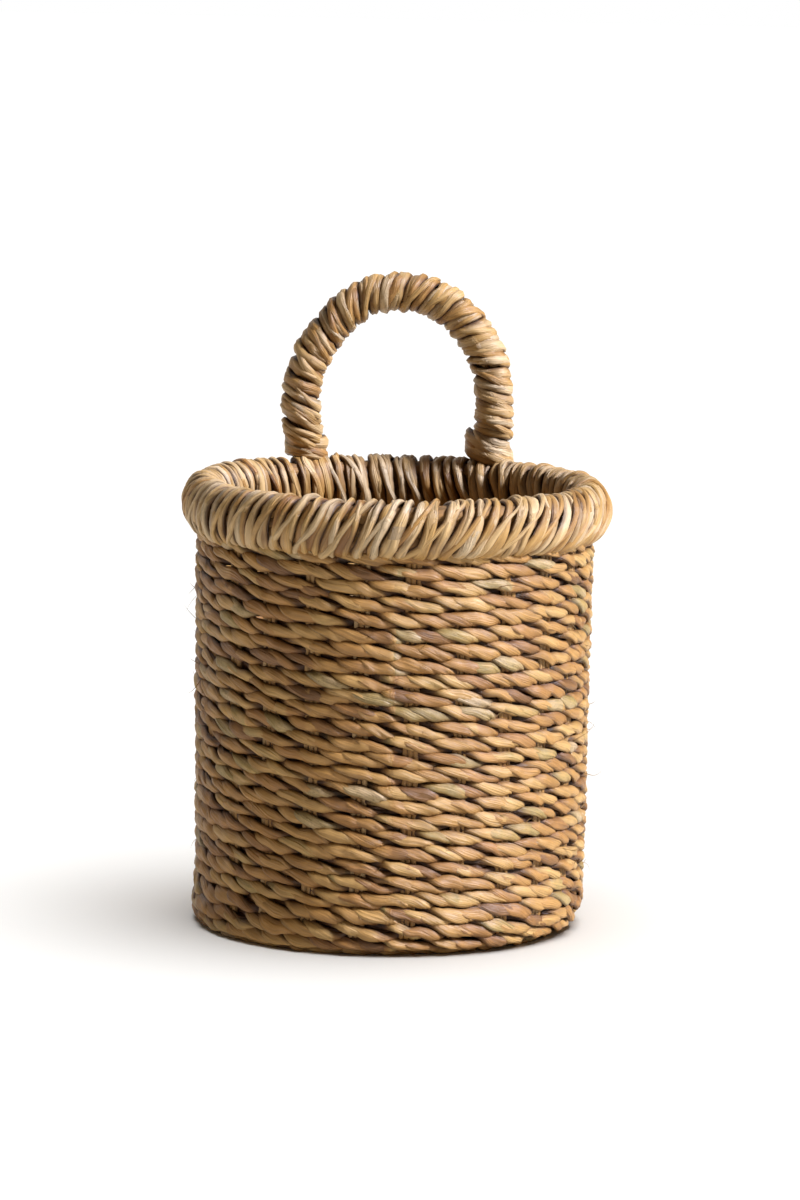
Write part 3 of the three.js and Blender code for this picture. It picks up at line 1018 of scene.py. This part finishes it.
class BASKET_OT_handle(bpy.types.Operator):
    """Lay the core of the handle, wind the leaf over it and lash its feet"""
    bl_idname = "basket.handle"
    bl_label = "Wind handle"

    def execute(self, context):
        sizes = context.scene.basket_sizes
        whole = 2 * HANDLE_LEG + math.pi * HANDLE_SPAN
        inside = HANDLE_RADIUS - sizes.wound_thickness
        section = (inside, inside)
        core = bundle_tree("Handle core", handle_point, section, whole, HANDLE_CORE_STEPS, False)
        values = {"Strand width": inside * 2 / 3, "Twists": 3, "Seed": sizes.seed}
        piece = evaluated_piece("handle_core_strands", core, values, core_material())
        settle(piece, "core_bundle", "handle_core")

        section = (HANDLE_RADIUS, HANDLE_RADIUS)
        tree = wound_tree(
            "Wound handle", handle_point, section, HANDLE_STEPS_PER_TURN, sizes.handle_turns, whole
        )
        values = {
            "Turns": sizes.handle_turns, "Strip width": sizes.handle_strip,
            "Strip thickness": sizes.wound_thickness, "Lean": 2.6 * MM, "Lean turn": math.pi / 2,
            "Lean fade": 0.9, "Cross lean": 2.0 * MM, "Cross rise": 0.4 * MM, "Sink": 0.2,
            "Rise": WOUND_RISE, "Disorder": sizes.disorder, "Seed": sizes.seed,
        }
        piece = evaluated_piece("handle_wound_leaf", tree, values, handle_material())
        settle(piece, "handle_leaf", "handle_wrap")
        self.lash(sizes, -1, "lashing_left", *LEFT_LASHING)
        self.lash(sizes, 1, "lashing_right", *RIGHT_LASHING)
        return {"FINISHED"}

    def lash(self, sizes, side, node, radius, lean):
        """Winds the strips that hide the foot of one handle leg."""
        low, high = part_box(node)
        tall = high[2] - low[2] - LASHING_TRIM
        tree = wound_tree(
            "Wound " + node, lashing_point(side), (radius, radius), LASHING_STEPS_PER_TURN,
            sizes.lashing_turns, tall,
        )
        values = {
            "Turns": sizes.lashing_turns, "Strip width": sizes.lashing_strip,
            "Strip thickness": sizes.wound_thickness, "Lean": lean, "Lean turn": math.pi / 2,
            "Lean fade": 0.2, "Cross lean": lean * 0.8, "Cross rise": 0.3 * MM, "Sink": 0.1,
            "Rise": WOUND_RISE, "Disorder": sizes.disorder, "Seed": sizes.seed + side,
        }
        piece = evaluated_piece(node + "_strips", tree, values, handle_material())
        settle(piece, "handle_leaf", node)


class BASKET_OT_stage(bpy.types.Operator):
    """Set the plain floor, the soft studio light and the camera"""
    bl_idname = "basket.stage"
    bl_label = "Set stage"

    def execute(self, context):
        scene = context.scene
        ground = self.lay_floor(scene)
        self.light(scene, ground)
        self.place_camera(scene)
        scene.view_settings.view_transform = "Standard"
        return {"FINISHED"}

    def place_camera(self, scene):
        camera = bpy.data.cameras.new("Camera")
        camera.sensor_fit = "VERTICAL"
        camera.sensor_height = SENSOR_HEIGHT
        camera.lens = CAMERA_LENS
        camera.clip_end = CAMERA_RANGE
        view = bpy.data.objects.new("Camera", camera)
        view.location = CAMERA_PLACE
        look = Euler((math.radians(90 - CAMERA_DOWN), 0.0, CAMERA_TURN)).to_matrix()
        view.rotation_euler = (look @ Matrix.Rotation(CAMERA_ROLL, 3, "Z")).to_euler()
        scene.collection.objects.link(view)
        scene.camera = view

    def lay_floor(self, scene):
        half = FLOOR_HALF
        mesh = bpy.data.meshes.new("floor")
        corners = [(-half, -half, 0.0), (half, -half, 0.0), (half, half, 0.0), (-half, half, 0.0)]
        mesh.from_pydata(corners, [], [(0, 1, 2, 3)])
        ground = bpy.data.objects.new("floor", mesh)
        scene.collection.objects.link(ground)
        material = bpy.data.materials.new("Pale floor")
        material.use_nodes = True
        shader = material.node_tree.nodes["Principled BSDF"]
        shader.inputs["Base Color"].default_value = (*scene.basket_colours.floor, 1.0)
        shader.inputs["Roughness"].default_value = 0.9
        shader.inputs["Specular IOR Level"].default_value = 0.0
        mesh.materials.append(material)
        return ground

    def light(self, scene, ground):
        """A key and a back light that leave out the floor, a broad one for the floor, and a faint sky."""
        world = bpy.data.worlds.new("Studio")
        world.use_nodes = True
        nodes = world.node_tree.nodes
        background = nodes["Background"]
        ray = Term(world.node_tree, nodes.new("ShaderNodeLightPath").outputs["Is Camera Ray"])
        warm = (part + ray * (1.0 - part) for part in SKY_COLOUR)
        feed(background.inputs["Color"], vector(world.node_tree, *warm))
        feed(background.inputs["Strength"], SKY_LIGHT + ray * (1.0 - SKY_LIGHT))
        scene.world = world

        key = self.sun(scene, "Key light", KEY_STRENGTH, KEY_SPREAD, KEY_TURNED)
        key.data.color = KEY_COLOUR
        back = self.sun(scene, "Back light", BACK_STRENGTH, BACK_SPREAD, BACK_TURNED)
        for lamp in (key, back):
            lamp.light_linking.receiver_collection = self.receivers("Not the floor", ground, "EXCLUDE")
        broad = self.sun(scene, "Floor light", FLOOR_STRENGTH, FLOOR_SPREAD, FLOOR_TURNED)
        broad.light_linking.receiver_collection = self.receivers("Only the floor", ground, "INCLUDE")

    def receivers(self, name, item, state):
        """A collection that says whether a lamp lights one object or leaves it out."""
        collection = bpy.data.collections.new(name)
        collection.objects.link(item)
        collection.collection_objects[0].light_linking.link_state = state
        return collection

    def sun(self, scene, name, strength, spread, turned):
        data = bpy.data.lights.new(name, "SUN")
        data.energy = strength
        data.angle = math.radians(spread)
        lamp = bpy.data.objects.new(name, data)
        lamp.rotation_euler = [math.radians(value) for value in turned]
        scene.collection.objects.link(lamp)
        return lamp


class BASKET_PT_panel(bpy.types.Panel):
    bl_label = "Seagrass basket"
    bl_idname = "BASKET_PT_panel"
    bl_space_type = "VIEW_3D"
    bl_region_type = "UI"
    bl_category = "Basket"

    def draw(self, context):
        for group in (context.scene.basket_sizes, context.scene.basket_colours):
            for name in group.__annotations__:
                self.layout.prop(group, name)
        for operator in OPERATORS:
            self.layout.operator(operator.bl_idname)


OPERATORS = (
    BASKET_OT_stage, BASKET_OT_stakes, BASKET_OT_base, BASKET_OT_wall, BASKET_OT_fibres, BASKET_OT_rim,
    BASKET_OT_handle,
)
CLASSES = (BasketSizes, BasketColours, *OPERATORS, BASKET_PT_panel)


def register():
    for cls in CLASSES:
        bpy.utils.register_class(cls)
    bpy.types.Scene.basket_sizes = PointerProperty(type=BasketSizes)
    bpy.types.Scene.basket_colours = PointerProperty(type=BasketColours)


def unregister():
    del bpy.types.Scene.basket_colours
    del bpy.types.Scene.basket_sizes
    for cls in reversed(CLASSES):
        bpy.utils.unregister_class(cls)


def main():
    register()
    bpy.ops.basket.stage()
    bpy.ops.basket.stakes()
    bpy.ops.basket.base()
    bpy.ops.basket.wall()
    bpy.ops.basket.fibres()
    bpy.ops.basket.rim()
    bpy.ops.basket.handle()


if __name__ == "__main__":
    main()
